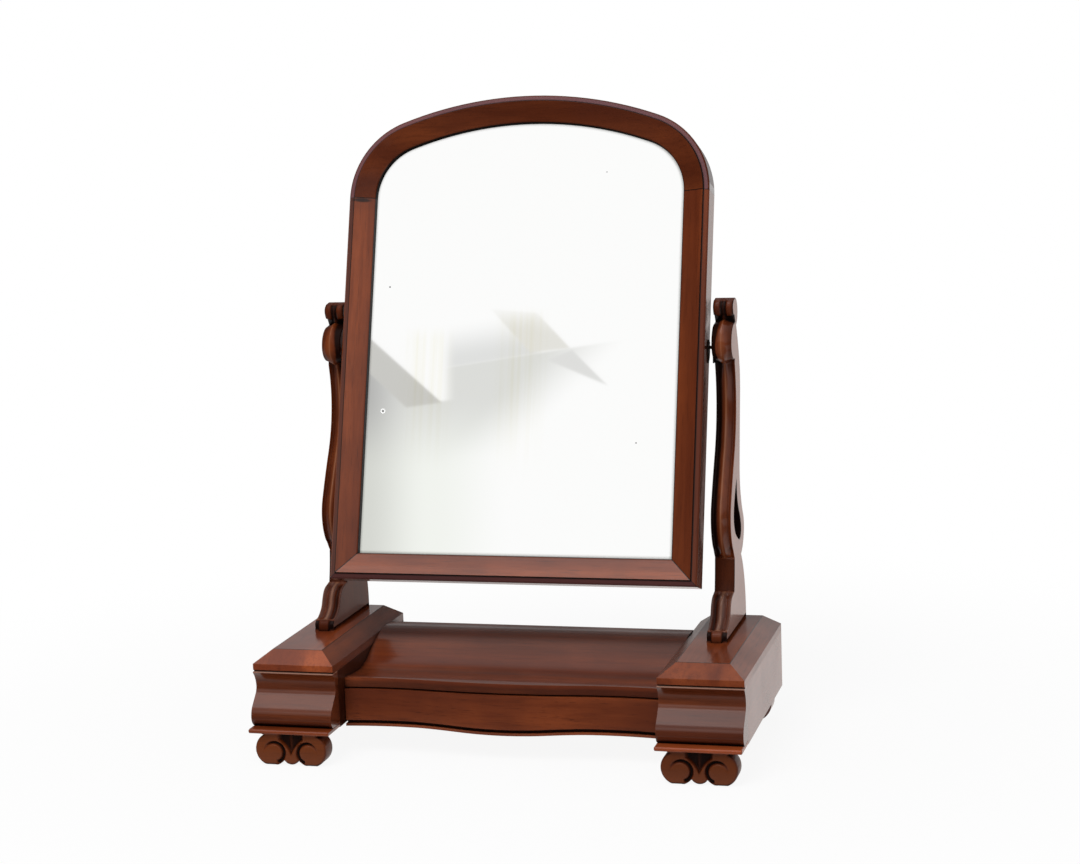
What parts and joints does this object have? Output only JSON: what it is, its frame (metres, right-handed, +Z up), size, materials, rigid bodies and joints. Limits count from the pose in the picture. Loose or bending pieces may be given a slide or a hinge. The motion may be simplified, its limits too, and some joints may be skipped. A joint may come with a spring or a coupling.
{
  "type": "vanity mirror with drawer",
  "caption": "Toilet mirror: arched swing mirror between pierced scroll uprights, on ogee pedestals with scroll feet and a serpentine frieze drawer between them.",
  "frame": {"origin": "centre of the bounding box at floor level", "axes": "+X to the object's right seen from the front, +Y to the back, +Z up"},
  "size_m": [0.65, 0.358, 0.8482],
  "materials": {
    "polished_mahogany": "polished red-brown mahogany",
    "drawer_lining": "plain secondary wood, waxed",
    "mirror_glass": "old silvered glass, lightly spotted",
    "dark_iron": "dark oxidised iron"
  },
  "bodies": {
    "base": {"left_pedestal_outer_side": "polished_mahogany", "left_pedestal_inner_side": "polished_mahogany", "left_pedestal_front": "polished_mahogany", "left_pedestal_back": "drawer_lining", "left_pedestal_bottom": "drawer_lining", "left_pedestal_top": "polished_mahogany", "left_pedestal_glue_blocks": "drawer_lining", "left_plinth_moulding": "polished_mahogany", "left_front_foot": "polished_mahogany", "left_rear_foot": "polished_mahogany", "left_upright": "polished_mahogany", "left_socket_plate": "dark_iron", "right_pedestal_outer_side": "polished_mahogany", "right_pedestal_inner_side": "polished_mahogany", "right_pedestal_front": "polished_mahogany", "right_pedestal_back": "drawer_lining", "right_pedestal_bottom": "drawer_lining", "right_pedestal_top": "polished_mahogany", "right_pedestal_glue_blocks": "drawer_lining", "right_plinth_moulding": "polished_mahogany", "right_front_foot": "polished_mahogany", "right_rear_foot": "polished_mahogany", "right_upright": "polished_mahogany", "right_socket_plate": "dark_iron", "centre_top": "polished_mahogany", "centre_top_cleats": "drawer_lining", "centre_back": "drawer_lining", "centre_bottom": "drawer_lining", "drawer_stops": "drawer_lining"},
    "drawer": {"drawer_front": "polished_mahogany", "drawer_bead": "polished_mahogany", "drawer_left_side": "drawer_lining", "drawer_right_side": "drawer_lining", "drawer_back": "drawer_lining", "drawer_bottom": "drawer_lining"},
    "mirror": {"frame_arch": "polished_mahogany", "frame_left_stile": "polished_mahogany", "frame_right_stile": "polished_mahogany", "frame_bottom_rail": "polished_mahogany", "mirror_glass": "mirror_glass", "glass_wedges": "drawer_lining", "mirror_backboard": "drawer_lining", "left_pivot_plate": "dark_iron", "right_pivot_plate": "dark_iron"}
  },
  "joints": [
    {"name": "mirror_tilt", "type": "hinge", "parent": "base", "child": "mirror", "pos_m": [0, 0.0693, 0.5159], "axis": [1, 0, 0], "continuous": true},
    {"name": "drawer_slide", "type": "slide", "parent": "base", "child": "drawer", "axis": [0, -1, 0], "range_m": [0, 0.17]}
  ]
}
